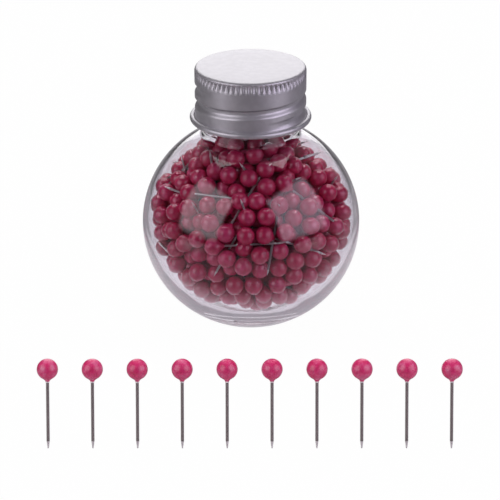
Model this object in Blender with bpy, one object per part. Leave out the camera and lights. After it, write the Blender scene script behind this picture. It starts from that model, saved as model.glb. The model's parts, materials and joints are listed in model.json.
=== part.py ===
"""Ball-shaped bottle full of ball head pins, with a screw cap, and ten loose pins set out in front of it.

The bottle stands on the origin with +Z up. The loose pins stand along X on the -Y side, on their points.
"""

import math

import bmesh
import bpy
import numpy as np
from mathutils import Matrix, Vector

MM = 0.001

# Loose pins
HEAD_DIAMETER = 4.5 * MM
PIN_LENGTH = 19.2 * MM
SHAFT_DIAMETER = 0.68 * MM
POINT_LENGTH = 1.4 * MM
COLLAR_DIAMETER = 0.95 * MM
COLLAR_DROP = 0.45 * MM
COLLAR_SPREAD = math.radians(28)
SEAT_DEPTH = 2.8 * MM
SEAT_GAP = 0.03 * MM

# Row of loose pins
ROW_COUNT = 10
ROW_PITCH = 9.5 * MM
ROW_DISTANCE = 65.9 * MM
ROW_LEAN = math.radians(20)

# Bottle
BULB_DIAMETER = 52.0 * MM
BULB_HEIGHT = 51.0 * MM
BASE_DIAMETER = 20.0 * MM
BULB_WALL = 1.15 * MM
HEEL_WALL = 1.9 * MM
BASE_THICKNESS = 4.4 * MM
NECK_DIAMETER = 22.7 * MM
NECK_WALL = 2.05 * MM
NECK_FILLET = 1.5 * MM
NECK_RISE = 10.0 * MM
LIP_ROUND = 0.7 * MM

# Screw thread shared by the neck and the cap
THREAD_PITCH = 3.5 * MM
THREAD_TURNS = 1.5
THREAD_HALF_WIDTH = 1.2 * MM
THREAD_FADE_TURNS = 0.12
RIDGE_HEIGHT = 0.85 * MM
GROOVE_DEPTH = 0.65 * MM
GROOVE_RISE = 2.8 * MM
THREAD_ROWS_PER_PITCH = 7

# Cap
CAP_GAP = 1.25 * MM
CAP_HEIGHT = 13.0 * MM
CAP_WALL = 0.4 * MM
CAP_SHOULDER = 0.6 * MM
RIM_FLARE = 1.25 * MM
RIM_BEAD = 1.4 * MM
FLUTE_COUNT = 70
FLUTE_RADIUS = 0.5 * MM
FLUTE_DEPTH = 0.22 * MM
FLUTE_HEIGHT = 2.3 * MM
FLUTE_DROP = 0.35 * MM
LINER_THICKNESS = 1.2 * MM
LINER_CLEARANCE = 0.4 * MM
SEAL_GAP = 0.1 * MM

# Heap of pins in the bottle
HEAP_HEAD_DIAMETER = 4.3 * MM
HEAP_PIN_LENGTH = 18.3 * MM
HEAP_SHAFT_DIAMETER = 0.56 * MM
HEAP_GAP = 0.3 * MM
HEAP_PEAK_BELOW_LIP = 14.0 * MM
HEAP_PEAK_DIAMETER = 17.0 * MM
HEAP_SLOPE = math.radians(43.6)
HEAP_FILL = 0.68
HEAP_SCATTER = 0.1
HEAP_DIP = 2.4 * MM
HEAP_STRAYS = 36
HEAP_HOLLOWS = 0.8
HEAP_ROUNDS = 150
HEAP_SEED = 7

# Facets
ROUND_SIDES = 40
HEAD_SIDES = 12
SHAFT_SIDES = 8
HEAP_HEAD_SIDES = 6
HEAP_RING = 0.86
HEAP_LEAST_ANGLE = 0.012
SMOOTH_ANGLE = math.radians(40)
MERGE_DISTANCE = 1e-7

# Sizes that follow from those above
HEAD_RADIUS = HEAD_DIAMETER / 2
SHAFT_RADIUS = SHAFT_DIAMETER / 2
HEAP_HEAD_RADIUS = HEAP_HEAD_DIAMETER / 2
HEAP_SHAFT_RADIUS = HEAP_SHAFT_DIAMETER / 2
HEAP_REACH = HEAP_PIN_LENGTH - HEAP_HEAD_RADIUS
BULB_RADIUS = BULB_DIAMETER / 2
BULB_SQUASH = BULB_HEIGHT / BULB_DIAMETER
BULB_CENTRE = BULB_SQUASH * math.sqrt(BULB_RADIUS**2 - (BASE_DIAMETER / 2) ** 2)
BULB_TOP = BULB_CENTRE + BULB_HEIGHT / 2
CAVITY_RADIUS = BULB_RADIUS - BULB_WALL
CAVITY_TOP = BULB_TOP - BULB_WALL
CAVITY_HALF_HEIGHT = BULB_HEIGHT / 2 - HEEL_WALL
CAVITY_CENTRE = CAVITY_TOP - CAVITY_HALF_HEIGHT
FLOOR_ANGLE = math.acos((CAVITY_CENTRE - BASE_THICKNESS) / CAVITY_HALF_HEIGHT)
NECK_RADIUS = NECK_DIAMETER / 2
BORE_RADIUS = NECK_RADIUS - NECK_WALL
LIP_HEIGHT = BULB_HEIGHT + NECK_RISE
CAP_BORE = NECK_RADIUS + CAP_GAP
CAP_RADIUS = CAP_BORE + CAP_WALL
RIM_RADIUS = CAP_RADIUS + RIM_FLARE
LINER_BOTTOM = LIP_HEIGHT + SEAL_GAP
CAP_CEILING = LINER_BOTTOM + LINER_THICKNESS + SEAL_GAP
CAP_TOP = CAP_CEILING + CAP_WALL
RIM_BOTTOM = CAP_TOP - CAP_HEIGHT
GROOVE_START = RIM_BOTTOM + GROOVE_RISE
RIDGE_START = GROOVE_START + THREAD_HALF_WIDTH
HEAP_PEAK = LIP_HEIGHT - HEAP_PEAK_BELOW_LIP


def arc(centre, radius, start, end, steps):
    """Points of a circular arc in the profile plane, angles in radians from +X, both ends included."""
    angles = [start + (end - start) * step / steps for step in range(steps + 1)]
    return [(centre[0] + radius * math.cos(a), centre[1] + radius * math.sin(a)) for a in angles]


def evenly(low, high, count):
    """Values from low to high in equal steps, both ends included."""
    return [low + (high - low) * step / count for step in range(count + 1)]


def turned(profile, sides):
    """A closed mesh turned about Z from (radius, height) points that start and end on the axis."""
    mesh = bmesh.new()
    points = [mesh.verts.new((radius, 0, height)) for radius, height in profile]
    edges = [mesh.edges.new(pair) for pair in zip(points, points[1:])]
    bmesh.ops.spin(
        mesh, geom=points + edges, cent=(0, 0, 0), axis=(0, 0, 1), angle=math.tau, steps=sides, use_merge=True
    )
    bmesh.ops.remove_doubles(mesh, verts=mesh.verts, dist=MERGE_DISTANCE)
    bmesh.ops.recalc_face_normals(mesh, faces=mesh.faces)
    return mesh


def finish_material(name, colour, roughness, metallic=0.0, transmission=0.0):
    """A plain Principled material."""
    material = bpy.data.materials.new(name)
    material.use_nodes = True
    shader = material.node_tree.nodes["Principled BSDF"]
    shader.inputs["Base Color"].default_value = (*colour, 1)
    shader.inputs["Roughness"].default_value = roughness
    shader.inputs["Metallic"].default_value = metallic
    shader.inputs["Transmission Weight"].default_value = transmission
    return material


def add_object(name, bm, material):
    """A shaded object from a bmesh, which is freed."""
    mesh = bpy.data.meshes.new(name)
    bm.to_mesh(mesh)
    bm.free()
    mesh.shade_smooth()
    mesh.set_sharp_from_angle(angle=SMOOTH_ANGLE)
    mesh.materials.append(material)
    obj = bpy.data.objects.new(name, mesh)
    bpy.context.scene.collection.objects.link(obj)
    return obj


def thread_share(angle, height, start):
    """How much of the thread's full depth, from 0 to 1, is at a place on a wall. The helix is right-handed."""
    share = 0.0
    for whole_turns in range(math.ceil(THREAD_TURNS) + 1):
        along = angle / math.tau + whole_turns
        offset = height - start - THREAD_PITCH * along
        ends = min(along, THREAD_TURNS - along) / THREAD_FADE_TURNS
        if abs(offset) < THREAD_HALF_WIDTH and ends > 0:
            crest = 0.5 + 0.5 * math.cos(math.pi * offset / THREAD_HALF_WIDTH)
            share = max(share, crest * min(ends, 1.0))
    return share


def thread_heights(start):
    """Heights of the rows of points that carry a thread, from below its start to above its end."""
    low = start - THREAD_HALF_WIDTH
    high = start + THREAD_PITCH * THREAD_TURNS + THREAD_HALF_WIDTH
    return evenly(low, high, math.ceil((high - low) / THREAD_PITCH * THREAD_ROWS_PER_PITCH))


def push_thread(bm, start, depth, inner_limit):
    """Moves the points outside inner_limit out by the thread's depth, or in where the depth is negative."""
    for vert in bm.verts:
        radius = math.hypot(vert.co.x, vert.co.y)
        if radius < inner_limit:
            continue
        angle = math.atan2(vert.co.y, vert.co.x) % math.tau
        scale = 1 + depth * thread_share(angle, vert.co.z, start) / radius
        vert.co.x *= scale
        vert.co.y *= scale


def bulb_profile(radius, half_height, centre, low_angle, high_angle, steps):
    """Points up a squashed ball's side. Angles are from straight down."""
    return [
        (radius * math.sin(a), centre - half_height * math.cos(a)) for a in evenly(low_angle, high_angle, steps)
    ]


def shoulder_profile():
    """Points of the hollow fillet between bulb and neck, worked out on a true ball and squashed with it."""
    reach = BULB_RADIUS + NECK_FILLET
    tilt = math.asin((NECK_RADIUS + NECK_FILLET) / reach)
    centre = (NECK_RADIUS + NECK_FILLET, reach * math.cos(tilt))
    points = arc(centre, NECK_FILLET, math.pi * 1.5 - tilt, math.pi, 4)
    return tilt, [(radius, BULB_CENTRE + BULB_SQUASH * height) for radius, height in points]


def make_bottle(material):
    """Glass bottle: flat thick base, ball-shaped bulb, short threaded neck and open bore."""
    tilt, shoulder = shoulder_profile()
    heel = math.asin(BASE_DIAMETER / BULB_DIAMETER)
    profile = [(0, 0)]
    profile += bulb_profile(BULB_RADIUS, BULB_HEIGHT / 2, BULB_CENTRE, heel, math.pi - tilt, 16)[:-1]
    profile += shoulder
    profile += [(NECK_RADIUS, height) for height in thread_heights(RIDGE_START)]
    profile += arc((NECK_RADIUS - LIP_ROUND, LIP_HEIGHT - LIP_ROUND), LIP_ROUND, 0, math.pi / 2, 3)
    profile += arc((BORE_RADIUS + LIP_ROUND, LIP_HEIGHT - LIP_ROUND), LIP_ROUND, math.pi / 2, math.pi, 2)
    bore_angle = math.pi - math.asin(BORE_RADIUS / CAVITY_RADIUS)
    profile += bulb_profile(CAVITY_RADIUS, CAVITY_HALF_HEIGHT, CAVITY_CENTRE, bore_angle, FLOOR_ANGLE, 13)
    profile += [(0, BASE_THICKNESS)]
    bm = turned(profile, ROUND_SIDES)
    push_thread(bm, RIDGE_START, RIDGE_HEIGHT, (NECK_RADIUS + BORE_RADIUS) / 2)
    return add_object("glass_bottle", bm, material)


def flute_cutter():
    """Short upright rods round the cap's top edge, whose inner sides cut its grip flutes."""
    bm = bmesh.new()
    middle = CAP_TOP - FLUTE_DROP - FLUTE_HEIGHT / 2
    reach = CAP_RADIUS + FLUTE_RADIUS - FLUTE_DEPTH
    for flute in range(FLUTE_COUNT):
        angle = math.tau * flute / FLUTE_COUNT
        made = bmesh.ops.create_cone(
            bm, cap_ends=True, segments=6, radius1=FLUTE_RADIUS, radius2=FLUTE_RADIUS, depth=FLUTE_HEIGHT
        )
        bmesh.ops.rotate(bm, verts=made["verts"], cent=(0, 0, 0), matrix=Matrix.Rotation(angle, 3, "Z"))
        place = Vector((reach * math.cos(angle), reach * math.sin(angle), middle))
        bmesh.ops.translate(bm, verts=made["verts"], vec=place)
    mesh = bpy.data.meshes.new("flute_cutter")
    bm.to_mesh(mesh)
    bm.free()
    cutter = bpy.data.objects.new("flute_cutter", mesh)
    cutter.hide_render = True
    cutter.display_type = "WIRE"
    bpy.context.scene.collection.objects.link(cutter)
    return cutter


def make_cap(material):
    """Thin metal cap: flat top, fluted band, rolled-in thread and curled rim."""
    bead = RIM_BEAD / 2
    bead_centre = (RIM_RADIUS - bead, RIM_BOTTOM + bead)
    rows = thread_heights(GROOVE_START)
    profile = [(0, CAP_CEILING), (CAP_BORE, CAP_CEILING)]
    profile += [(CAP_BORE, height) for height in reversed(rows)]
    profile += arc(bead_centre, bead, math.pi, math.tau + math.pi / 3, 8)
    profile += [(CAP_RADIUS, height) for height in rows]
    profile += arc((CAP_RADIUS - CAP_SHOULDER, CAP_TOP - CAP_SHOULDER), CAP_SHOULDER, 0, math.pi / 2, 3)
    profile += [(0, CAP_TOP)]
    bm = turned(profile, ROUND_SIDES)
    push_thread(bm, GROOVE_START, -GROOVE_DEPTH, CAP_BORE / 2)
    cap = add_object("cap_shell", bm, material)
    flutes = cap.modifiers.new("flutes", "BOOLEAN")
    flutes.operation = "DIFFERENCE"
    flutes.object = flute_cutter()
    return cap


def make_liner(material):
    """Foam disc under the cap's top that seals the lip."""
    radius = CAP_BORE - LINER_CLEARANCE
    top = LINER_BOTTOM + LINER_THICKNESS
    profile = [(0, LINER_BOTTOM), (radius, LINER_BOTTOM), (radius, top), (0, top)]
    return add_object("cap_liner", turned(profile, ROUND_SIDES), material)


def heap_reach(directions):
    """Distance from the cavity's centre to the heap's outer limit along each unit direction."""
    side = np.hypot(directions[:, 0], directions[:, 1])
    up = directions[:, 2]
    wide = CAVITY_RADIUS - HEAP_GAP
    tall = CAVITY_HALF_HEIGHT - HEAP_GAP
    wall = 1 / np.sqrt((side / wide) ** 2 + (up / tall) ** 2)
    peak = HEAP_PEAK - CAVITY_CENTRE
    flat = np.where(up > 0, peak / np.maximum(up, MERGE_DISTANCE), np.inf)
    slope = math.tan(HEAP_SLOPE)
    rise = up + slope * side
    mound = (peak + slope * HEAP_PEAK_DIAMETER / 2) / np.maximum(rise, MERGE_DISTANCE)
    depth = CAVITY_CENTRE - BASE_THICKNESS - HEAP_GAP
    ground = np.where(up < 0, depth / np.maximum(-up, MERGE_DISTANCE), np.inf)
    return np.minimum.reduce([wall, flat, np.where(rise > 0, mound, np.inf), ground])


def unit(vectors):
    """The vectors at length 1."""
    return vectors / np.linalg.norm(vectors, axis=-1, keepdims=True)


def parted(gaps, room):
    """Half of what each gap lacks for its length to be room, along the gap."""
    length = np.linalg.norm(gaps, axis=-1, keepdims=True)
    return gaps * np.clip(room - length, 0, None) / np.maximum(length, MERGE_DISTANCE) / 2


def below_limit(points, depth):
    """Points moved along their way from the cavity's centre to lie this deep below the heap's limit."""
    ways = unit(points)
    return ways * (heap_reach(ways) - depth)[:, None]


def heap_heads():
    """Centres of the heads on the heap's outside, from the cavity's centre.

    They start evenly spread, and settle as they push each other and the shafts of some stray pins apart.
    """
    rng = np.random.default_rng(HEAP_SEED)
    per_head = HEAP_HEAD_DIAMETER**2 * math.sqrt(3) / 2
    count = round(HEAP_FILL * 4 * math.pi * (CAVITY_RADIUS - HEAP_HEAD_RADIUS) ** 2 / per_head)
    index = np.arange(count)
    up = 1 - 2 * (index + 0.5) / count
    turn = index * math.pi * (3 - math.sqrt(5))
    side = np.sqrt(1 - up**2)
    ways = np.column_stack([side * np.cos(turn), side * np.sin(turn), up])
    ways = unit(ways + rng.normal(scale=HEAP_SCATTER, size=ways.shape))
    depth = HEAP_HEAD_RADIUS + HEAP_DIP * rng.random(count) ** 3
    heads = below_limit(ways, depth)
    strays = rng.choice(count, HEAP_STRAYS, replace=False)
    tips = heads[strays] + HEAP_REACH * unit(np.cross(ways[strays], rng.normal(size=(HEAP_STRAYS, 3))))
    for _ in range(HEAP_ROUNDS):
        shafts = tips - heads[strays]
        offset = heads[:, None] - heads[strays]
        share = np.clip(np.sum(offset * shafts, axis=2, keepdims=True) / HEAP_REACH**2, 0, 1)
        push = parted(offset - share * shafts, HEAP_HEAD_RADIUS + HEAP_SHAFT_RADIUS)
        moves = push.sum(axis=1) + parted(heads[:, None] - heads, HEAP_HEAD_DIAMETER).sum(axis=1)
        moves[strays] -= (push * (1 - share)).sum(axis=0)
        tips = tips - (push * share).sum(axis=0)
        heads = below_limit(heads + moves / 2, depth)
        tips = heads[strays] + HEAP_REACH * unit(tips - heads[strays])
        tips = below_limit(tips, HEAP_SHAFT_RADIUS)
    return heads


def hull(ways):
    """A closed mesh of triangles round points on the unit sphere, without points that nearly coincide."""
    bm = bmesh.new()
    for way in ways:
        bm.verts.new(way)
    bmesh.ops.remove_doubles(bm, verts=bm.verts, dist=HEAP_LEAST_ANGLE)
    bmesh.ops.convex_hull(bm, input=bm.verts)
    bmesh.ops.delete(bm, geom=[vert for vert in bm.verts if not vert.link_faces], context="VERTS")
    return bm


def heap_ways(heads):
    """Directions of the heap's points: the middle of each head, a ring near its edge, and the hollows between."""
    ways = unit(heads)
    across = unit(np.cross(ways, unit(np.array([1.0, 2.0, 3.0]))))
    along = np.cross(ways, across)
    spread = HEAP_RING * HEAP_HEAD_RADIUS / np.linalg.norm(heads, axis=1, keepdims=True)
    turns = evenly(0, math.tau, HEAP_HEAD_SIDES)[:-1]
    rings = [ways + spread * (math.cos(turn) * across + math.sin(turn) * along) for turn in turns]
    between = hull(ways)
    hollows = np.array([face.calc_center_median() for face in between.faces])
    between.free()
    return unit(np.concatenate([ways, *rings, hollows]))


def make_heap(material):
    """The pins in the bottle as one joined body, whose outside is a layer of ball heads with hollows between."""
    heads = heap_heads()
    bm = hull(heap_ways(heads))
    ways = unit(np.array([vert.co for vert in bm.verts]))
    along = ways @ heads.T
    inside = along**2 - np.sum(heads**2, axis=1) + HEAP_HEAD_RADIUS**2
    hit = np.where((along > 0) & (inside > 0), along + np.sqrt(np.maximum(inside, 0)), 0)
    limit = heap_reach(ways)
    reach = np.clip(hit.max(axis=1), limit - HEAP_HOLLOWS * HEAP_HEAD_DIAMETER, limit)
    for vert, way, distance in zip(bm.verts, ways, reach):
        vert.co = Vector(way * distance) + Vector((0, 0, CAVITY_CENTRE))
    bmesh.ops.recalc_face_normals(bm, faces=bm.faces)
    return add_object("pin_heap", bm, material)


def head_profile():
    """Head from its collar up, about the ball's centre: blind socket, collar, hollow flare up to the ball, ball."""
    collar = (COLLAR_DIAMETER / 2, -HEAD_RADIUS - COLLAR_DROP)
    socket = SHAFT_RADIUS + SEAT_GAP
    ceiling = collar[1] + SEAT_DEPTH + SEAT_GAP
    ball = arc((0, 0), HEAD_RADIUS, COLLAR_SPREAD - math.pi / 2, math.pi / 2, 7)
    waist = (collar[0], -HEAD_RADIUS)
    flare = tuple(0.25 * a + 0.5 * b + 0.25 * c for a, b, c in zip(collar, waist, ball[0]))
    return [(0, ceiling), (socket, ceiling), (socket, collar[1]), collar, flare] + ball


def shaft_profile():
    """Shaft from its point, which is at the origin, to its blunt end in the head."""
    end = PIN_LENGTH - HEAD_DIAMETER - COLLAR_DROP + SEAT_DEPTH
    return [(0, 0), (SHAFT_RADIUS, POINT_LENGTH), (SHAFT_RADIUS, end), (0, end)]


def make_row(head_material, shaft_material):
    """Loose pins, each a head and a shaft on an empty at its point, leaning back along its own axis."""
    for number in range(1, ROW_COUNT + 1):
        seat = bpy.data.objects.new(f"pin_{number:02d}", None)
        seat.location = ((number - (ROW_COUNT + 1) / 2) * ROW_PITCH, -ROW_DISTANCE, 0)
        seat.rotation_euler = (-ROW_LEAN, 0, 0)
        bpy.context.scene.collection.objects.link(seat)
        head = add_object(f"pin_{number:02d}_head", turned(head_profile(), HEAD_SIDES), head_material)
        head.parent = seat
        head.location = (0, 0, PIN_LENGTH - HEAD_RADIUS)
        shaft = add_object(f"pin_{number:02d}_shaft", turned(shaft_profile(), SHAFT_SIDES), shaft_material)
        shaft.parent = seat


def main():
    for obj in list(bpy.data.objects):
        bpy.data.objects.remove(obj)
    heads = finish_material("pink_head", (0.61, 0.05, 0.17), 0.3)
    make_bottle(finish_material("clear_glass", (0.95, 0.96, 0.97), 0.02, transmission=1.0))
    make_cap(finish_material("satin_aluminium", (0.72, 0.71, 0.73), 0.35, metallic=1.0))
    make_liner(finish_material("white_foam", (0.9, 0.9, 0.88), 0.8))
    make_heap(heads)
    make_row(heads, finish_material("steel", (0.55, 0.52, 0.52), 0.3, metallic=1.0))


main()
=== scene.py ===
"""Looks of a ball-shaped glass bottle full of ball head pins, with its screw cap and ten loose pins."""

import json
import logging
import math
from dataclasses import dataclass
from enum import Enum

import bpy
import numpy as np
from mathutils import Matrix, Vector

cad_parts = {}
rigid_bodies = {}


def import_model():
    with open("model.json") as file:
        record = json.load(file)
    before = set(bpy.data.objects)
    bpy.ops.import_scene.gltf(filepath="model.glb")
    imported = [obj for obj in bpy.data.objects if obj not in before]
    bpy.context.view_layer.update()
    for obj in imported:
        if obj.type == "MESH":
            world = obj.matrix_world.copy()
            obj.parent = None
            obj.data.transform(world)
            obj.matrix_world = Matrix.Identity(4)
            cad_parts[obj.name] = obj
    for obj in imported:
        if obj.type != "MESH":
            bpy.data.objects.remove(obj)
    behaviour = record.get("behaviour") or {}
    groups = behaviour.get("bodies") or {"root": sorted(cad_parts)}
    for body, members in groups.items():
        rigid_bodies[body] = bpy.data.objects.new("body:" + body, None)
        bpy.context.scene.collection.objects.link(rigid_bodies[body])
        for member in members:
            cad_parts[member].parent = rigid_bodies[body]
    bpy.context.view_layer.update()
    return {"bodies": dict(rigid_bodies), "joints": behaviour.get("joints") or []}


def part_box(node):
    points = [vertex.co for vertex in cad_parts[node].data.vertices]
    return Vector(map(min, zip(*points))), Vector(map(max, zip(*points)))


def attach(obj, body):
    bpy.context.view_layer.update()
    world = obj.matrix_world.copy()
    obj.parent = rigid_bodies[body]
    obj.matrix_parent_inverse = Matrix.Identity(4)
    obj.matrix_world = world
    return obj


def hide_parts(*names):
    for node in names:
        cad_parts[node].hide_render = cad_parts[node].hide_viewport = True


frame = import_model()

LOG = logging.getLogger("ball_head_pins")
MM = 0.001
TINY = 1e-7

Colour = tuple[float, float, float]
Point = tuple[float, float]
Span = tuple[float, float]
Profile = list[Point]
Faces = list[tuple[int, ...]]
Form = tuple[np.ndarray, Faces]
Piece = bpy.types.Object


class Side(Enum):
    """Which side of the camera a lamp stands on."""

    LEFT = -1
    RIGHT = 1


# Nodes


class Signal:
    """A node socket whose sums and products are written as Python expressions."""

    SMOOTH = {"interpolation_type": "SMOOTHSTEP", "clamp": True}

    def __init__(self, graph: "NodeGraph", socket: bpy.types.NodeSocket) -> None:
        """Keeps the graph that takes new Math nodes, and the socket that gives the value."""
        self.graph = graph
        self.socket = socket

    def maths(self, operation: str, *values: "Signal | float") -> "Signal":
        """The result of a Math node's operation on these values, in order."""
        node = self.graph.node("ShaderNodeMath", dict(enumerate(values)), {"operation": operation})
        return Signal(self.graph, node.outputs[0])

    def __add__(self, other: "Signal | float") -> "Signal":
        """This value plus another."""
        return self.maths("ADD", self, other)

    def __radd__(self, other: float) -> "Signal":
        """A number plus this value."""
        return self.maths("ADD", other, self)

    def __sub__(self, other: "Signal | float") -> "Signal":
        """This value less another."""
        return self.maths("SUBTRACT", self, other)

    def __rsub__(self, other: float) -> "Signal":
        """A number less this value."""
        return self.maths("SUBTRACT", other, self)

    def __mul__(self, other: "Signal | float") -> "Signal":
        """This value times another."""
        return self.maths("MULTIPLY", self, other)

    def __rmul__(self, other: float) -> "Signal":
        """A number times this value."""
        return self.maths("MULTIPLY", other, self)

    def __truediv__(self, other: "Signal | float") -> "Signal":
        """This value divided by another."""
        return self.maths("DIVIDE", self, other)

    def __pow__(self, power: float) -> "Signal":
        """This value raised to a power."""
        return self.maths("POWER", self, power)

    def rise(self, low: float, high: float) -> "Signal":
        """A smooth step from 0 at low to 1 at high, either way round."""
        ends = {"Value": self, "From Min": low, "From Max": high}
        return self.graph.signal("ShaderNodeMapRange", "Result", ends, self.SMOOTH)


class NodeGraph:
    """A shader or geometry tree with one way of making a node."""

    def __init__(self, tree: bpy.types.NodeTree) -> None:
        """Keeps the tree."""
        self.tree = tree

    @classmethod
    def emptied(cls, owner: bpy.types.ID) -> "NodeGraph":
        """The tree of a material, a lamp or the world, with no nodes in it.

        Args:
            owner: What the tree belongs to.

        Returns:
            The tree.
        """
        owner.use_nodes = True
        owner.node_tree.nodes.clear()
        return cls(owner.node_tree)

    def node(self, kind: str, values: dict | None = None, settings: dict | None = None) -> bpy.types.Node:
        """A new node.

        Args:
            kind: The node's type name.
            values: Socket names or numbers, each with a number, a colour, a Signal or an output socket.
            settings: Properties, which are set first.

        Returns:
            The node.
        """
        made = self.tree.nodes.new(kind)
        for name, value in (settings or {}).items():
            setattr(made, name, value)
        for key, value in (values or {}).items():
            if isinstance(value, Signal):
                value = value.socket
            if isinstance(value, bpy.types.NodeSocket):
                self.tree.links.new(value, made.inputs[key])
            else:
                made.inputs[key].default_value = value
        return made

    def signal(self, kind: str, output: str, values: dict | None = None,
               settings: dict | None = None) -> Signal:
        """One output of a new node, by its name, ready for expressions. The rest is as for node()."""
        return Signal(self, self.node(kind, values, settings).outputs[output])

    def place(self) -> Signal:
        """Object coordinates, which are the frame's metres."""
        return self.signal("ShaderNodeTexCoord", "Object")

    def attribute(self, name: str) -> Signal:
        """A number that the piece's mesh keeps at each point."""
        return self.signal("ShaderNodeAttribute", "Fac", None, {"attribute_name": name})

    def axes(self, vector: Signal) -> tuple[Signal, ...]:
        """The three numbers of a vector."""
        return tuple(Signal(self, part) for part in self.node("ShaderNodeSeparateXYZ", {0: vector}).outputs)

    def principled(self, values: dict) -> Signal:
        """A principled shader with these socket values."""
        return self.signal("ShaderNodeBsdfPrincipled", "BSDF", values)

    def either(self, share: Signal, low: Signal, high: Signal) -> Signal:
        """A shader between two, low where the share is 0 and high where it is 1."""
        return self.signal("ShaderNodeMixShader", "Shader", {0: share, 1: low, 2: high})

    def noise(self, vector: Signal, size: float, detail: float = 3.0, roughness: float = 0.55) -> Signal:
        """Soft noise around 0.5, by the size of its largest blotches and how much finer noise it has."""
        values = {"Vector": vector, "Scale": 1 / size, "Detail": detail, "Roughness": roughness}
        return self.signal("ShaderNodeTexNoise", "Fac", values)

    def blend(self, share: Signal, low: "Colour | Signal", high: "Colour | Signal") -> Signal:
        """A colour between two.

        Args:
            share: 0 for low, 1 for high.
            low: First colour.
            high: Second colour.

        Returns:
            The colour.
        """
        ends = [value if isinstance(value, Signal) else (*value, 1.0) for value in (low, high)]
        node = self.node("ShaderNodeMix", {0: share, 6: ends[0], 7: ends[1]}, {"data_type": "RGBA"})
        return Signal(self, node.outputs[2])

    def bump(self, height: Signal, depth: float) -> Signal:
        """A normal from a height between 0 and 1, where 1 stands for the depth in metres."""
        values = {"Height": height, "Distance": depth, "Strength": 1.0}
        return self.signal("ShaderNodeBump", "Normal", values)

    def mirrored_once(self) -> Signal:
        """1 for rays that glass, metal or gloss has mirrored once on their way, else 0."""
        depth = self.rays("Glossy Depth")
        return depth.rise(0.0, 1.0) * depth.rise(2.0, 1.0)

    def rays(self, *names: str) -> Signal:
        """The sum of some Light Path outputs.

        Args:
            names: Outputs such as Is Camera Ray.

        Returns:
            The sum.
        """
        path = self.node("ShaderNodeLightPath")
        total = Signal(self, path.outputs[names[0]])
        for name in names[1:]:
            total = total + Signal(self, path.outputs[name])
        return total


# Finishes


@dataclass(frozen=True)
class Finish:
    """A material made of nodes."""

    name: str

    def material(self) -> bpy.types.Material:
        """Makes the finish's material on first use.

        Returns:
            The material.
        """
        found = bpy.data.materials.get(self.name)
        if found:
            return found
        made = bpy.data.materials.new(self.name)
        graph = NodeGraph.emptied(made)
        graph.node("ShaderNodeOutputMaterial", {"Surface": self.surface(graph)})
        return made

    def surface(self, graph: NodeGraph) -> Signal:
        """The shader that the finish shows. Each finish has its own."""
        raise NotImplementedError


@dataclass(frozen=True)
class ClearGlass(Finish):
    """Thick clear bottle glass with the faint ripple of its mould. Lamps reach what is inside."""

    name: str = "clear_glass"
    tint: Colour = (0.87, 0.855, 0.88)
    lamp_tint: Colour = (0.63, 0.612, 0.645)
    spent_tint: Colour = (0.70, 0.685, 0.71)
    index: float = 1.5
    ripple_size: float = 9 * MM
    ripple_depth: float = 0.05 * MM
    few_mirrorings: float = 2.0
    most_mirrorings: float = 4.0

    def surface(self, graph: NodeGraph) -> Signal:
        """Refracting glass that lets through rays from lamps, and rays that went to and fro inside it.

        Args:
            graph: The material's tree, still empty.

        Returns:
            The shader.
        """
        ripple = graph.noise(graph.place(), self.ripple_size, detail=1.0)
        glass = graph.principled({
            "Base Color": (*self.tint, 1.0),
            "Roughness": 0.0,
            "IOR": self.index,
            "Transmission Weight": 1.0,
            "Normal": graph.bump(ripple, self.ripple_depth),
        })
        spent = graph.rays("Glossy Depth").rise(self.few_mirrorings, self.most_mirrorings)
        for share, tint in ((spent, self.spent_tint), (graph.rays("Is Shadow Ray"), self.lamp_tint)):
            clear = graph.signal("ShaderNodeBsdfTransparent", "BSDF", {"Color": (*tint, 1.0)})
            glass = graph.either(share, glass, clear)
        return glass


@dataclass(frozen=True)
class SatinAluminium(Finish):
    """Rolled aluminium with a satin face, fine turning lines and small handling marks."""

    name: str = "satin_aluminium"
    colour: Colour = (0.66, 0.64, 0.675)
    dull: Colour = (0.61, 0.59, 0.625)
    # Painted shade: near-black colour in the corner under the thread's upper side, for the overhang's
    # shadow.
    painted_shade_colour: Colour = (0.10, 0.09, 0.10)
    painted_shade_cover: float = 0.95
    metal: float = 0.72
    roughness: float = 0.40
    line_size: float = 0.22 * MM
    line_depth: float = 0.006 * MM
    line_drift: float = 0.02
    line_roughness: float = 0.06
    mark_size: float = 1.6 * MM
    mark_range: Span = (0.35, 0.7)
    mark_roughness: float = 0.05

    def surface(self, graph: NodeGraph) -> Signal:
        """Metal whose lines run round the axis, on side and top alike, with painted shade in the thread's
        corner.

        Args:
            graph: The material's tree, still empty.

        Returns:
            The shader.
        """
        place = graph.place()
        x, y, z = graph.axes(place)
        radius = (x * x + y * y) ** 0.5
        around = {"X": radius, "Y": z, "Z": x * self.line_drift}
        rings = graph.signal("ShaderNodeCombineXYZ", "Vector", around)
        lines = graph.noise(rings, self.line_size, detail=2.0)
        marks = graph.noise(place, self.mark_size, detail=4.0)
        clean = graph.blend(marks.rise(*self.mark_range), self.dull, self.colour)
        roughness = self.roughness + self.mark_roughness * (marks - 0.5)
        return graph.principled({
            # Base colour darkened by painted shade in the thread's corner.
            "Base Color": graph.blend(graph.attribute("grime") * self.painted_shade_cover, clean, self.painted_shade_colour),
            "Metallic": self.metal,
            "Roughness": roughness + self.line_roughness * (lines - 0.5),
            "Normal": graph.bump(lines, self.line_depth),
        })


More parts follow.
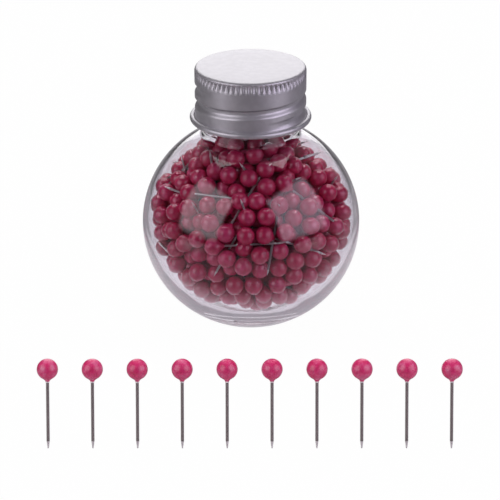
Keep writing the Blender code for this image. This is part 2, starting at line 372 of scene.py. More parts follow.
@dataclass(frozen=True)
class SealFoam(Finish):
    """White closed-cell foam of the cap's seal."""

    name: str = "seal_foam"
    colour: Colour = (0.90, 0.90, 0.88)
    shade: Colour = (0.78, 0.78, 0.76)
    roughness: float = 0.85
    cell: float = 0.35 * MM
    cell_depth: float = 0.05 * MM
    cell_range: Span = (0.2, 0.8)

    def surface(self, graph: NodeGraph) -> Signal:
        """Matt foam with small cells.

        Args:
            graph: The material's tree, still empty.

        Returns:
            The shader.
        """
        values = {"Vector": graph.place(), "Scale": 1 / self.cell}
        cells = graph.signal("ShaderNodeTexVoronoi", "Distance", values, {"feature": "F1"})
        return graph.principled({
            "Base Color": graph.blend(cells.rise(*self.cell_range), self.colour, self.shade),
            "Roughness": self.roughness,
            "Normal": graph.bump(1 - cells, self.cell_depth),
        })


@dataclass(frozen=True)
class PearlPlastic(Finish):
    """Pink moulded plastic with cloudy pearl in it and a soft gloss."""

    name: str = "pearl_plastic"
    deep: Colour = (0.52, 0.011, 0.085)
    colour: Colour = (0.62, 0.036, 0.150)
    pearl: Colour = (0.70, 0.105, 0.245)
    tone_pull: float = 0.10
    colour_range: Span = (0.30, 0.55)
    pearl_range: Span = (0.52, 0.78)
    roughness: float = 0.36
    cloud_size: float = 1.5 * MM
    cloud_roughness: float = 0.20
    speck_size: float = 0.28 * MM
    speck_roughness: float = 0.08
    skin_depth: float = 0.006 * MM
    haze: float = 0.07
    coat: float = 0.7
    coat_swing: float = 0.3
    coat_range: Span = (0.35, 0.65)
    coat_index: float = 1.6

    def surface(self, graph: NodeGraph) -> Signal:
        """Pearl clouds over the pin's own tone, with painted shade in the bottle and painted light on loose
        pins, under a thin gloss.

        Args:
            graph: The material's tree, still empty.

        Returns:
            The shader.
        """
        place = graph.place()
        clouds = graph.noise(place, self.cloud_size, detail=4.0, roughness=0.6)
        specks = graph.noise(place, self.speck_size, detail=2.0)
        # The tone attribute varies at random and carries painted shading: low in the bottle as painted
        # shade, high on the loose pins as painted light.
        level = clouds + self.tone_pull * graph.attribute("tone")
        base = graph.blend(level.rise(*self.colour_range), self.deep, self.colour)
        roughness = self.roughness + self.cloud_roughness * (clouds - 0.5)
        return graph.principled({
            "Base Color": graph.blend(level.rise(*self.pearl_range), base, self.pearl),
            "Roughness": roughness + self.speck_roughness * (specks - 0.5),
            "Coat Weight": self.coat + self.coat_swing * clouds.rise(*self.coat_range),
            "Coat Roughness": self.haze,
            "Coat IOR": self.coat_index,
            "Normal": graph.bump(specks + clouds, self.skin_depth),
        })


@dataclass(frozen=True)
class PinSteel(Finish):
    """Drawn steel wire, darker along the shaft and bright where the point is ground."""

    name: str = "drawn_steel"
    wire: Colour = (0.285, 0.245, 0.235)
    bright: Colour = (0.92, 0.86, 0.86)
    metal: float = 0.45
    bright_metal: float = 0.5
    roughness: float = 0.40
    streak_size: float = 0.12 * MM
    streak_depth: float = 0.0003 * MM
    streak_roughness: float = 0.08

    def surface(self, graph: NodeGraph) -> Signal:
        """Metal that is bright where the shaft's own bare attribute says so, and brighter as a painted glint
        on the pins that have one.

        Args:
            graph: The material's tree, still empty.

        Returns:
            The shader.
        """
        bare = graph.attribute("bare")
        # Painted glint on the shafts of strays and poking pins.
        share = bare.maths("MAXIMUM", bare, graph.attribute("shine"))
        streaks = graph.noise(graph.place(), self.streak_size)
        return graph.principled({
            "Base Color": graph.blend(share, self.wire, self.bright),
            "Metallic": self.metal + (self.bright_metal - self.metal) * share,
            "Roughness": self.roughness + self.streak_roughness * (streaks - 0.5),
            "Normal": graph.bump(streaks, self.streak_depth),
        })


@dataclass(frozen=True)
class PaleFloor(Finish):
    """White studio floor that keeps a soft shadow. Towards the camera, out of the picture, it has painted
    shade; glass and metal see it glow with painted light.
    """

    name: str = "pale_floor"
    colour: Colour = (0.76, 0.76, 0.76)
    # Painted shade: the floor darkens towards this colour near the camera and, in mirrors, away from the
    # bottle's foot.
    dark: Colour = (0.05, 0.05, 0.05)
    dark_from: float = -95 * MM
    dark_to: float = -140 * MM
    dark_in_mirrors: float = 0.9
    glow: float = 0.985
    # Painted light: shares of glow that glass and metal see on the floor, at the foot and in two pools
    # beside the bottle.
    glow_through_glass: float = 0.85
    glow_in_mirrors: float = 0.14
    glow_at_foot: float = 0.45
    glow_beside: float = 0.9
    glow_tint: Colour = (0.97, 0.92, 1.0)
    foot: float = 42 * MM
    foot_back: float = 20 * MM
    foot_fade: float = 10 * MM
    side_from: float = 60 * MM
    side_to: float = 110 * MM
    beside_from: float = 80 * MM
    beside_to: float = 112 * MM
    beside_end: Span = (200 * MM, 150 * MM)
    beside_front: Span = (-30 * MM, -60 * MM)

    def surface(self, graph: NodeGraph) -> Signal:
        """Matt white, lifted to full white for the camera. Glass and metal see painted light: an even glow
        through glass, and in mirrors a glow at the bottle's foot and two pools beside it. Painted shade
        darkens it towards the camera and, in mirrors, away from the foot.

        Args:
            graph: The material's tree, still empty.

        Returns:
            The shader.
        """
        x, y, _ = graph.axes(graph.place())
        near = y.rise(self.dark_from, self.dark_to)
        behind = y - self.foot_back
        away = ((x * x + behind * behind) ** 0.5).rise(self.foot, self.foot + self.foot_fade)
        once = graph.mirrored_once()
        dim = away * once
        # Painted shade near the camera and, in mirrors, away from the foot.
        tone = graph.blend(near.maths("MAXIMUM", near, self.dark_in_mirrors * dim), self.colour, self.dark)
        matt = graph.signal("ShaderNodeBsdfDiffuse", "BSDF", {"Color": tone})
        seen = graph.rays("Is Camera Ray")
        white = graph.blend(seen, self.glow_tint, (1.0, 1.0, 1.0))
        white = graph.signal("ShaderNodeEmission", "Emission", {"Color": white, "Strength": 1.0})
        # Painted light seen in mirrors: a glow that fades away from the middle, and two pools beside the
        # bottle.
        aside = x.maths("ABSOLUTE", x)
        beside = aside.rise(self.beside_from, self.beside_to)
        beside = beside * aside.rise(*self.beside_end) * y.rise(*self.beside_front)
        mirrored = self.glow_in_mirrors * aside.rise(self.side_to, self.side_from)
        mirrored = mirrored + self.glow_beside * beside
        foot = self.glow_through_glass + once * (self.glow_at_foot - self.glow_through_glass)
        share = foot + dim * (mirrored - foot)
        glow = graph.rays("Is Transmission Ray", "Is Glossy Ray") * share * (1 - near)
        glow = glow + self.glow * seen
        return graph.either(glow, matt, white)


# Meshes


def arc(centre: Point, radius: float, start: float, end: float, steps: int) -> Profile:
    """Points of an arc in the profile plane, both ends included. Its angles are in degrees."""
    angles = np.radians(np.linspace(start, end, steps + 1))
    return [(centre[0] + radius * math.cos(a), centre[1] + radius * math.sin(a)) for a in angles]


def sweep(start: Point, leave: Point, end: Point, arrive: Point, steps: int) -> Profile:
    """A smooth curve between two points of a profile.

    Args:
        start: First point.
        leave: Direction and pull at the first point.
        end: Last point.
        arrive: Direction and pull at the last point.
        steps: Number of steps.

    Returns:
        The points between, without both ends.
    """
    made = []
    for t in np.linspace(0, 1, steps + 1)[1:-1]:
        weights = (2 * t**3 - 3 * t**2 + 1, t**3 - 2 * t**2 + t, 3 * t**2 - 2 * t**3, t**3 - t**2)
        pulls = (start, leave, end, arrive)
        made.append(tuple(sum(w * p[axis] for w, p in zip(weights, pulls)) for axis in (0, 1)))
    return made


def rows_between(radius: float, low: float, high: float, step: float) -> Profile:
    """Points up or down a plain wall, both ends included, at most a step apart."""
    count = max(1, math.ceil(abs(high - low) / step))
    return [(radius, height) for height in np.linspace(low, high, count + 1)]


def revolve(profile: Profile, columns: int) -> Form:
    """A closed form turned about Z.

    Args:
        profile: (radius, height) points that start and end on the axis, up the outside.
        columns: Number of points round.

    Returns:
        Points and faces.
    """
    rings = np.array(profile[1:-1])
    angles = np.arange(columns) * math.tau / columns
    sides = np.stack([np.cos(angles), np.sin(angles)], axis=1)
    flat = rings[:, None, :1] * sides[None]
    tall = np.broadcast_to(rings[:, None, 1:], (len(rings), columns, 1))
    walls = np.concatenate([flat, tall], axis=2).reshape(-1, 3)
    points = np.concatenate([[(0, 0, profile[0][1])], walls, [(0, 0, profile[-1][1])]])
    last = len(points) - 1
    faces = []
    for column in range(columns):
        after = (column + 1) % columns
        faces.append((0, 1 + after, 1 + column))
        for ring in range(len(rings) - 1):
            here, above = 1 + ring * columns, 1 + (ring + 1) * columns
            faces.append((here + column, here + after, above + after, above + column))
        top = 1 + (len(rings) - 1) * columns
        faces.append((top + column, top + after, last))
    return points, faces


def add_piece(name: str, points: np.ndarray, faces: Faces, finish: Finish,
              values: dict[str, np.ndarray] | None = None, sharp: float = 50.0) -> Piece:
    """A piece at the origin with its place in its mesh.

    Args:
        name: The piece's name.
        points: Its points.
        faces: Its faces.
        finish: Its finish.
        values: Named numbers for each point.
        sharp: Angle in degrees past which an edge stays sharp.

    Returns:
        The piece.
    """
    mesh = bpy.data.meshes.new(name)
    mesh.from_pydata(points.tolist(), [], faces)
    for key, numbers in (values or {}).items():
        mesh.attributes.new(key, "FLOAT", "POINT").data.foreach_set("value", numbers.astype(np.float32))
    mesh.shade_smooth()
    mesh.set_sharp_from_angle(angle=math.radians(sharp))
    mesh.materials.append(finish.material())
    piece = bpy.data.objects.new(name, mesh)
    bpy.context.scene.collection.objects.link(piece)
    return piece


def settle_piece(piece: Piece, body: str, slot: str, *nodes: str) -> Piece:
    """Ties a finished piece to the frame.

    Args:
        piece: The piece.
        body: The body that it moves with.
        slot: The material slot that its finish stands for. Not used.
        nodes: The nodes that it stands for.

    Returns:
        The piece.
    """
    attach(piece, body)
    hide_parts(*nodes)
    return piece


class GeometryTree:
    """A Geometry Nodes tree with named inputs, run once on a piece and turned into a plain mesh."""

    def __init__(self, name: str, inputs: dict[str, str]) -> None:
        """Starts the tree.

        Args:
            name: The tree's name.
            inputs: Input names, each with its socket type.
        """
        tree = bpy.data.node_groups.new(name, "GeometryNodeTree")
        tree.interface.new_socket("Geometry", in_out="INPUT", socket_type="NodeSocketGeometry")
        self.ids = {
            key: tree.interface.new_socket(key, in_out="INPUT", socket_type=kind).identifier
            for key, kind in inputs.items()
        }
        tree.interface.new_socket("Geometry", in_out="OUTPUT", socket_type="NodeSocketGeometry")
        self.graph = NodeGraph(tree)
        self.start = self.graph.node("NodeGroupInput")

    def given(self, name: str) -> Signal:
        """One of the tree's inputs."""
        return Signal(self.graph, self.start.outputs[name])

    def close(self, geometry: Signal, finish: Signal) -> None:
        """Ends the tree in real geometry with its material.

        Args:
            geometry: What the tree has made.
            finish: The material.
        """
        real = self.graph.signal("GeometryNodeRealizeInstances", "Geometry", {"Geometry": geometry})
        values = {"Geometry": real, "Material": finish}
        dressed = self.graph.signal("GeometryNodeSetMaterial", "Geometry", values)
        self.graph.node("NodeGroupOutput", {"Geometry": dressed})

    def run(self, piece: Piece, values: dict[str, object]) -> None:
        """Runs the tree on a piece and keeps the result as its plain mesh.

        Args:
            piece: The piece.
            values: A value for each named input.
        """
        modifier = piece.modifiers.new(self.graph.tree.name, "NODES")
        modifier.node_group = self.graph.tree
        for name, value in values.items():
            modifier[self.ids[name]] = value
        done = piece.evaluated_get(bpy.context.evaluated_depsgraph_get())
        mesh = bpy.data.meshes.new_from_object(done)
        piece.modifiers.clear()
        piece.data = mesh


# Bottle and cap


@dataclass(frozen=True)
class ScrewThread:
    """A right-handed thread with rounded sides that fades at its ends. Its upper side may be steeper."""

    pitch: float = 3.5 * MM
    turns: float = 1.5
    half_width: float = 1.2 * MM
    fade: float = 0.12
    lead: float = 0.0
    upper_power: float = 1.0
    corner_place: float = 0.72
    corner_width: float = 0.21

    def shares(self, points: np.ndarray, start: float) -> tuple[np.ndarray, np.ndarray]:
        """How far each point takes part in the thread.

        Args:
            points: Points of a turned form.
            start: Height of the thread's middle at angle 0.

        Returns:
            Share of the thread's depth, and nearness to the corner of its upper side, both from 0 to 1.
        """
        angle = np.arctan2(points[:, 1], points[:, 0]) % math.tau / math.tau
        share, corner = np.zeros(len(points)), np.zeros(len(points))
        for turn in range(-1, math.ceil(self.turns) + 1):
            along = angle + turn
            offset = (points[:, 2] - start - self.pitch * along) / self.half_width
            ends = np.clip(np.minimum(along + self.lead, self.turns - along) / self.fade, 0, 1)
            ends = ends * ends * (3 - 2 * ends)
            nearness = np.exp(-(((offset - self.corner_place) / self.corner_width) ** 2))
            corner = np.maximum(corner, ends * nearness)
            offset = np.where(offset > 0, np.abs(offset) ** self.upper_power, offset)
            crest = np.where(np.abs(offset) < 1, 0.5 + 0.5 * np.cos(np.pi * offset), 0)
            share = np.maximum(share, crest * ends)
        return share, corner

    def press(self, points: np.ndarray, start: float, depth: float, inner_limit: float) -> np.ndarray:
        """Moves a wall's points out by the thread's depth.

        Args:
            points: Points of a turned form.
            start: Height of the thread's middle at angle 0.
            depth: How far the crest stands out, or in where it is negative.
            inner_limit: Points nearer to the axis stay.

        Returns:
            The moved points.
        """
        radius = np.hypot(points[:, 0], points[:, 1])
        share = self.shares(points, start)[0]
        scale = np.where(radius > inner_limit, 1 + depth * share / np.maximum(radius, MM), 1)
        return points * np.stack([scale, scale, np.ones(len(points))], axis=1)


@dataclass
class GlassBottle:
    """Ball-shaped bottle: thick base, clear wall, short neck, and a thread under the cap."""

    bulb_diameter: float = 52 * MM
    bulb_height: float = 51 * MM
    base_diameter: float = 20 * MM
    base_hollow: float = 0.6 * MM
    base_inset: float = 1.0 * MM
    heel_reach: float = 1.4 * MM
    heel_pull: float = 2.4 * MM
    wall: float = 1.15 * MM
    heel_wall: float = 1.9 * MM
    base_thickness: float = 4.3 * MM
    floor_radius: float = 11.0 * MM
    floor_angle: float = 38.0
    floor_pull: float = 3.8 * MM
    neck_diameter: float = 22.7 * MM
    neck_wall: float = 1.6 * MM
    neck_fillet: float = 1.5 * MM
    lip_round: float = 0.7 * MM
    bore_end: float = 47.5 * MM
    bore_flare: float = 11.2 * MM
    bore_pull: float = 2.8 * MM
    bore_step: float = 1.5 * MM
    ridge_start: float = 53.8 * MM
    ridge_height: float = 0.85 * MM
    row_step: float = 0.35 * MM
    bulb_rows: int = 72
    cavity_rows: int = 64
    columns: int = 160
    thread: ScrewThread = ScrewThread()
    finish: Finish = ClearGlass()

    @property
    def squash(self) -> float:
        """How much flatter than a true ball the bulb is."""
        return self.bulb_height / self.bulb_diameter

    @property
    def bulb_radius(self) -> float:
        """The bulb's radius at its widest."""
        return self.bulb_diameter / 2

    @property
    def bulb_centre(self) -> float:
        """Height of the bulb's widest place."""
        return self.squash * math.sqrt(self.bulb_radius**2 - (self.base_diameter / 2) ** 2)

    @property
    def cavity_radius(self) -> float:
        """The hollow's radius at its widest."""
        return self.bulb_radius - self.wall

    @property
    def cavity_half_height(self) -> float:
        """Half the height of the ball that the hollow is, before its floor cuts it."""
        return self.bulb_height / 2 - self.heel_wall

    @property
    def cavity_centre(self) -> float:
        """Height of the hollow's widest place."""
        return self.bulb_centre + self.bulb_height / 2 - self.wall - self.cavity_half_height

    def bulb_point(self, angle: float) -> Point:
        """A point on the bulb's outside, by its angle in radians from straight down."""
        return self.bulb_radius * math.sin(angle), self.bulb_centre - self.bulb_height / 2 * math.cos(angle)

    def cavity_point(self, angle: float) -> Point:
        """A point on the hollow's wall, by its angle in radians from straight down."""
        drop = self.cavity_half_height * math.cos(angle)
        return self.cavity_radius * math.sin(angle), self.cavity_centre - drop

    def cavity_way(self, angle: float, pull: float) -> Point:
        """The way down along the hollow's wall at an angle from straight down, as long as the pull."""
        way = (-self.cavity_radius * math.cos(angle), -self.cavity_half_height * math.sin(angle))
        return way[0] * pull / math.hypot(*way), way[1] * pull / math.hypot(*way)

    def outside(self, lip: float) -> Profile:
        """The outside from the middle of the base up to the lip.

        Args:
            lip: The lip's height.

        Returns:
            Profile points.
        """
        ring = self.base_diameter / 2 - self.base_inset
        heel = math.asin((self.base_diameter / 2 + self.heel_reach) / self.bulb_radius)
        reach = self.bulb_radius + self.neck_fillet
        neck = self.neck_diameter / 2
        tilt = math.asin((neck + self.neck_fillet) / reach)
        fillet = arc((neck + self.neck_fillet, reach * math.cos(tilt)), self.neck_fillet,
                     270 - math.degrees(tilt), 180, 12)
        points = [(0.0, self.base_hollow)]
        points += sweep(points[0], (ring, 0), (ring, 0), (ring / 3, 0), 14)
        points.append((ring, 0.0))
        first = self.bulb_point(heel)
        pull = self.heel_pull
        points += sweep((ring, 0), (pull, 0), first, (pull * math.cos(heel), pull * math.sin(heel)), 6)
        points += [self.bulb_point(a) for a in np.linspace(heel, math.pi - tilt, self.bulb_rows)[:-1]]
        points += [(r, self.bulb_centre + self.squash * h) for r, h in fillet]
        points += rows_between(neck, points[-1][1], lip - self.lip_round, self.row_step)[1:-1]
        return points + arc((neck - self.lip_round, lip - self.lip_round), self.lip_round, 0, 90, 6)

    def inside(self, lip: float) -> Profile:
        """The inside from the lip down to the middle of the floor.

        Args:
            lip: The lip's height.

        Returns:
            Profile points.
        """
        bore = self.neck_diameter / 2 - self.neck_wall
        points = arc((bore + self.lip_round, lip - self.lip_round), self.lip_round, 90, 180, 6)
        points += rows_between(bore, lip - self.lip_round, self.bore_end, self.bore_step)[1:]
        top = math.pi - math.asin(self.bore_flare / self.cavity_radius)
        heel = math.radians(self.floor_angle)
        pull = self.bore_pull
        points += sweep(points[-1], (0, -pull), self.cavity_point(top), self.cavity_way(top, pull), 10)
        points += [self.cavity_point(a) for a in np.linspace(top, heel, self.cavity_rows)]
        ground = (self.floor_radius, self.base_thickness)
        pull = self.floor_pull
        points += sweep(points[-1], self.cavity_way(heel, pull), ground, (-pull, 0), 14)
        return points + [(ground[0] * share, ground[1]) for share in (1.0, 0.5, 0.0)]

    def build(self) -> list[Piece]:
        """Makes the bottle.

        Returns:
            Its one piece.
        """
        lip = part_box("glass_bottle")[1].z
        points, faces = revolve(self.outside(lip) + self.inside(lip), self.columns)
        limit = self.neck_diameter / 2 - self.neck_wall / 2
        above = points[:, 2] > self.ridge_start - 2 * self.thread.half_width
        points[above] = self.thread.press(points[above], self.ridge_start, self.ridge_height, limit)
        piece = add_piece("bottle_of_clear_glass", points, faces, self.finish, sharp=80)
        return [settle_piece(piece, "bottle", "bottle_glass", "glass_bottle")]


@dataclass
class ScrewCap:
    """Thin rolled cap with its foam seal: flat top, fluted edge, rolled-in thread, skirt and curled rim."""

    wall: float = 0.4 * MM
    rim_flare: float = 1.25 * MM
    shoulder: float = 0.9 * MM
    rim_bead: float = 1.4 * MM
    rim_curl: Span = (180.0, 470.0)
    rim_crease: Point = (0.16 * MM, 0.25 * MM)
    skirt_gap: float = 0.1 * MM
    groove_rise: float = 2.8 * MM
    groove_depth: float = 0.7 * MM
    groove_limit: float = 0.6
    flute_count: int = 70
    flute_depth: float = 0.48 * MM
    flute_drop: float = 0.45 * MM
    flute_height: float = 2.6 * MM
    flute_fade_low: float = 2.2 * MM
    flute_fade_high: float = 0.45 * MM
    flute_power: float = 0.8
    columns_per_flute: int = 6
    row_step: float = 0.14 * MM
    seal_round: float = 0.25 * MM
    seal_columns: int = 96
    print_radius: float = 10.3 * MM
    print_width: float = 1.2 * MM
    print_depth: float = 0.06 * MM
    print_end: float = 1.4
    thread: ScrewThread = ScrewThread(
        turns=1.64, half_width=1.25 * MM, fade=0.16, lead=0.22, upper_power=2.4)
    finish: Finish = SatinAluminium()
    seal_finish: Finish = SealFoam()

    def shell_profile(self, low: float, high: float, radius: float, ceiling: float) -> Profile:
        """The cap from the middle of its ceiling, down inside, round the rim and up to its top's middle.

        Args:
            low: Height of the rim's underside.
            high: Height of the top.
            radius: The side's outer radius.
            ceiling: Height of the underside of the top.

        Returns:
            Profile points.
        """
        bead = self.rim_bead / 2
        centre = (radius + self.rim_flare - bead, low + bead)
        bore = radius - self.wall
        skirt = low + self.rim_bead + self.skirt_gap
        points = [(0.0, ceiling), (bore, ceiling)]
        points += rows_between(bore, ceiling, skirt, self.row_step)[1:]
        points += arc(centre, bead, *self.rim_curl, 26)
        points.append((radius + self.rim_crease[0], centre[1] + self.rim_crease[1]))
        points += rows_between(radius, skirt, high - self.shoulder, self.row_step)
        points += arc((radius - self.shoulder, high - self.shoulder), self.shoulder, 0, 90, 8)[1:]
        return points + [(radius * 0.5, high), (0.0, high)]

    def flute_tree(self) -> GeometryTree:
        """Geometry Nodes that press the grip flutes into the cap's upper edge.

        Returns:
            The tree.
        """
        sizes = ("Flute Count", "Flute Depth", "Band Low", "Band High", "Least Radius")
        inputs = {**dict.fromkeys(sizes, "NodeSocketFloat"), "Finish": "NodeSocketMaterial"}
        tree = GeometryTree("press_flutes", inputs)
        graph = tree.graph
        x, y, z = graph.axes(graph.signal("GeometryNodeInputPosition", "Position"))
        radius = (x * x + y * y) ** 0.5
        angle = y.maths("ARCTAN2", y, x)
        half_turns = angle * tree.given("Flute Count") * 0.5
        scoop = half_turns.maths("ABSOLUTE", half_turns.maths("SINE", half_turns)) ** self.flute_power
        above = (z - tree.given("Band Low")).rise(0.0, self.flute_fade_low)
        below = (tree.given("Band High") - z).rise(0.0, self.flute_fade_high)
        outer = radius.maths("GREATER_THAN", radius, tree.given("Least Radius"))
        share = tree.given("Flute Depth") * scoop * above * below * outer / radius
        inward = {"X": share * x * -1.0, "Y": share * y * -1.0}
        offset = graph.signal("ShaderNodeCombineXYZ", "Vector", inward)
        values = {"Geometry": tree.given("Geometry"), "Offset": offset}
        tree.close(graph.signal("GeometryNodeSetPosition", "Geometry", values), tree.given("Finish"))
        return tree

    def shell(self) -> Piece:
        """The metal shell.

        Returns:
            The piece.
        """
        low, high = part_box("cap_shell")
        radius = high.x - self.rim_flare
        ceiling = high.z - self.wall
        profile = self.shell_profile(low.z, high.z, radius, ceiling)
        points, faces = revolve(profile, self.flute_count * self.columns_per_flute)
        start = low.z + self.groove_rise
        # Nearness to the groove's upper corner, where the cap gets painted shade.
        grime = {"grime": self.thread.shares(points, start)[1]}
        points = self.thread.press(points, start, -self.groove_depth, radius * self.groove_limit)
        piece = add_piece("screw_cap_shell", points, faces, self.finish, grime, sharp=60)
        top = high.z - self.flute_drop
        self.flute_tree().run(piece, {
            "Flute Count": float(self.flute_count),
            "Flute Depth": self.flute_depth,
            "Band Low": top - self.flute_height,
            "Band High": top,
            "Least Radius": radius - self.shoulder,
            "Finish": self.finish.material(),
        })
        return settle_piece(piece, "cap", "cap_metal", "cap_shell")

    def seal(self) -> Piece:
        """The foam disc, with soft edges and the ring that the bottle's lip has pressed into it.

        Returns:
            The piece.
        """
        low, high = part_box("cap_liner")
        edge = self.seal_round
        profile = [(0.0, low.z), (self.print_radius - self.print_width, low.z)]
        for angle in np.linspace(-self.print_end, self.print_end, 9):
            height = low.z + self.print_depth * math.cos(angle) ** 2
            profile.append((self.print_radius + self.print_width * math.sin(angle), height))
        profile += arc((high.x - edge, low.z + edge), edge, -90, 0, 4)
        profile += arc((high.x - edge, high.z - edge), edge, 0, 90, 4)
        points, faces = revolve(profile + [(0.0, high.z)], self.seal_columns)
        piece = add_piece("cap_seal_disc", points, faces, self.seal_finish)
        return settle_piece(piece, "liner", "liner_foam", "cap_liner")

    def build(self) -> list[Piece]:
        """Makes the cap's shell and its seal."""
        return [self.shell(), self.seal()]


# Pins


@dataclass(frozen=True)
class PinShape:
    """One ball head pin: a moulded head on a pointed steel shaft."""

    length: float = 18.3 * MM
    head_radius: float = 2.15 * MM
    shaft_radius: float = 0.28 * MM
    point_length: float = 1.4 * MM
    tip_radius: float = 0.05 * MM
    collar_radius: float = 0.4 * MM
    collar_drop: float = 0.43 * MM
    collar_spread: float = 28.0
    ring_rise: float = 0.06 * MM
    ring_height: float = 0.3 * MM
    ring_edge: float = 0.05 * MM
    tip_height: float = 0.05 * MM
    grind_end: float = 0.97
    wire_step: float = 0.8 * MM
    seat: float = 0.4 * MM
    slack: float = 0.01 * MM

    @property
    def head_height(self) -> float:
        """Height of the ball's centre above the tip."""
        return self.length - self.head_radius

    @property
    def collar_height(self) -> float:
        """Height of the head's lowest place above the tip."""
        return self.head_height - self.head_radius - self.collar_drop

    def bare(self, points: np.ndarray) -> np.ndarray:
        """Where an upright shaft is ground or ringed, and so bright.

        Args:
            points: The shaft's points.

        Returns:
            1 at each bright point, 0 along the dark wire.
        """
        height, low = points[:, 2], self.collar_height - self.ring_height
        ring = (height > low + self.slack) & (height < self.collar_height + self.slack)
        return ((height < self.point_length - self.slack) | ring).astype(float)

    def head(self, columns: int, rows: int) -> Form:
        """The head, above a tip at the origin.

        Args:
            columns: Points round.
            rows: Steps from the collar's cone to the ball's top.

        Returns:
            Points and faces.
        """
        collar = (self.collar_radius, -self.head_radius - self.collar_drop)
        ball = arc((0, 0), self.head_radius, self.collar_spread - 90, 90, rows)
        pull = self.collar_drop * 2
        spread = math.radians(self.collar_spread)
        outward = (pull * math.cos(spread), pull * math.sin(spread))
        flare = sweep(collar, (0, pull), ball[0], outward, 1 + rows // 5)
        profile = [(0.0, collar[1]), collar] + flare + ball[:-1] + [(0.0, self.head_radius)]
        return revolve([(r, self.head_height + h) for r, h in profile], columns)

    def shaft(self, columns: int, ringed: bool) -> Form:
        """The shaft, from a tip at the origin to inside the head.

        Args:
            columns: Points round.
            ringed: Whether the small bright ring under the head is there.

        Returns:
            Points and faces.
        """
        end = self.collar_height + self.seat
        profile = [(0.0, 0.0), (self.shaft_radius * self.grind_end, self.point_length * self.grind_end)]
        profile += [(self.shaft_radius, self.point_length)]
        if ringed:
            low = self.collar_height - self.ring_height
            profile.insert(1, (self.tip_radius, self.tip_height))
            profile += rows_between(self.shaft_radius, self.point_length, low, self.wire_step)[1:]
            ring = self.shaft_radius + self.ring_rise
            profile += [(ring, low + self.ring_edge), (ring, self.collar_height)]
        profile += [(self.shaft_radius, end), (0.0, end)]
        return revolve(profile, columns)


def turned_to(points: np.ndarray, axis: Vector, tip: Vector) -> np.ndarray:
    """An upright pin's points, turned so that its shaft lies along an axis, with its tip at a place."""
    turn = np.array(Vector((0, 0, 1)).rotation_difference(axis).to_matrix())
    return points @ turn.T + np.array(tip)


@dataclass
class PinRow:
    """The loose pins in front of the bottle, each on its own body and larger than those in the bottle."""

    shape: PinShape = PinShape(
        length=19.2 * MM, head_radius=2.25 * MM, shaft_radius=0.34 * MM, collar_radius=0.44 * MM,
        collar_drop=0.34 * MM, point_length=1.6 * MM, tip_radius=0.13 * MM)
    # A lighter copy of the heads' finish: its brighter colours are painted light on the loose pins.
    head_finish: Finish = PearlPlastic(
        name="pearl_plastic_loose", deep=(0.70, 0.02, 0.12), colour=(0.82, 0.036, 0.185),
        pearl=(0.86, 0.13, 0.31), haze=0.3)
    shaft_finish: Finish = PinSteel()
    # Painted light: a raised tone that lightens every loose head.
    tone: float = 0.6
    head_columns: int = 40
    head_rows: int = 22
    shaft_columns: int = 20

    def build(self) -> list[Piece]:
        """Makes the pins where the frame has them.

        Returns:
            A head and a shaft for each pin.
        """
        axes = {joint["child"]: Vector(joint["axis"]) for joint in frame["joints"]}
        made = []
        for body in sorted(name for name in frame["bodies"] if name.startswith("pin_")):
            low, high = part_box(f"{body}_shaft")
            tip = Vector(((low.x + high.x) / 2, low.y, low.z))
            points, faces = self.shape.head(self.head_columns, self.head_rows)
            tones_with_painted_shading = {"tone": np.full(len(points), self.tone)}
            points = turned_to(points, axes[body], tip)
            head = add_piece(f"{body}_ball", points, faces, self.head_finish, tones_with_painted_shading)
            made.append(settle_piece(head, body, "pin_head", f"{body}_head"))
            points, faces = self.shape.shaft(self.shaft_columns, True)
            bare = {"bare": self.shape.bare(points)}
            points = turned_to(points, axes[body], tip)
            shaft = add_piece(f"{body}_wire", points, faces, self.shaft_finish, bare, sharp=25)
            made.append(settle_piece(shaft, body, "pin_steel", f"{body}_shaft"))
        return made


def unit(vectors: np.ndarray) -> np.ndarray:
    """The vectors at length 1."""
    return vectors / np.linalg.norm(vectors, axis=-1, keepdims=True)


